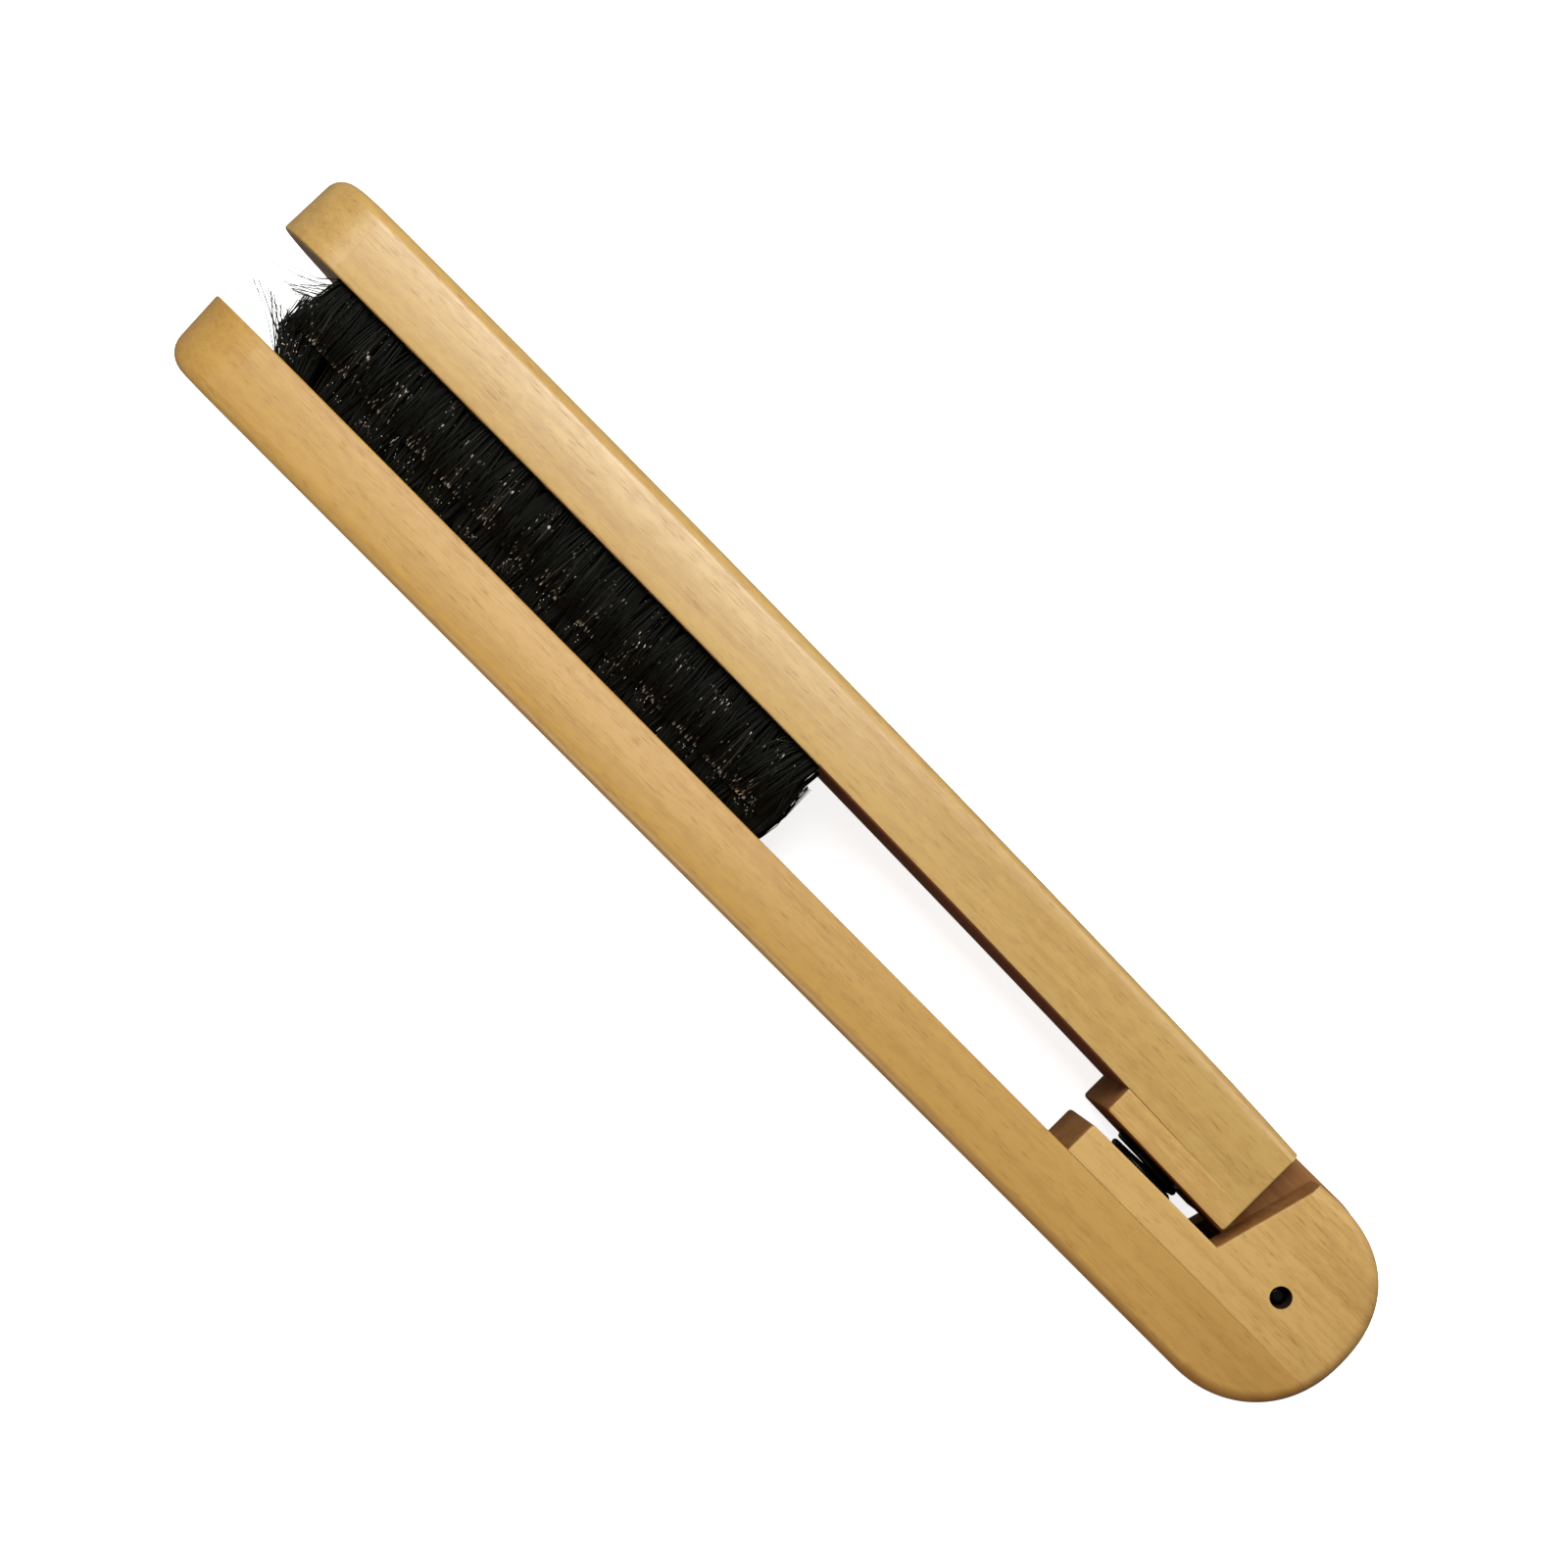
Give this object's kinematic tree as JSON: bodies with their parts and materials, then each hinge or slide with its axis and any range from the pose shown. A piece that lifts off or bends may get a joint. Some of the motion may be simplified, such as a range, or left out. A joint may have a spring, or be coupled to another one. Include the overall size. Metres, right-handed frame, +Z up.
{
  "type": "hair straightening comb",
  "caption": "Wooden clamp comb for straightening hair: two bristled arms on a forked pin hinge, held apart by a coil spring.",
  "frame": {"origin": "centre of the bounding box's underside, where the comb lies on its side on a flat surface", "axes": "+X from the bristled tips towards the hinge, +Y across the comb from the fixed lower arm to the moving upper arm, +Z up, parallel to the hinge pin"},
  "size_m": [0.22, 0.036, 0.028],
  "materials": {
    "arm_wood": "pale fine-grained hardwood, sanded and oiled, satin",
    "block_wood": "the same hardwood, a little lighter, sanded and oiled, satin",
    "bristle": "stiff black bristle with paler brown cut ends, low sheen",
    "blackened_steel": "black-coated steel wire and pin, slight gloss"
  },
  "bodies": {
    "lower": {"lower_arm": "arm_wood", "fork_block": "block_wood", "hinge_pin": "blackened_steel", "spring": "blackened_steel", "lower_bristles_1": "bristle", "lower_bristles_2": "bristle", "lower_bristles_3": "bristle"},
    "upper": {"upper_arm": "arm_wood", "spring_block": "block_wood", "upper_bristles_1": "bristle", "upper_bristles_2": "bristle", "upper_bristles_3": "bristle", "upper_bristles_4": "bristle"}
  },
  "joints": [
    {"name": "arm_hinge", "type": "hinge", "parent": "lower", "child": "upper", "pos_m": [0.09716, -0.00077, 0.014], "axis": [0, 0, -1], "range_deg": [-1.2, 22], "stiffness_Nm_per_rad": 0.5, "deforming": ["spring"]}
  ]
}
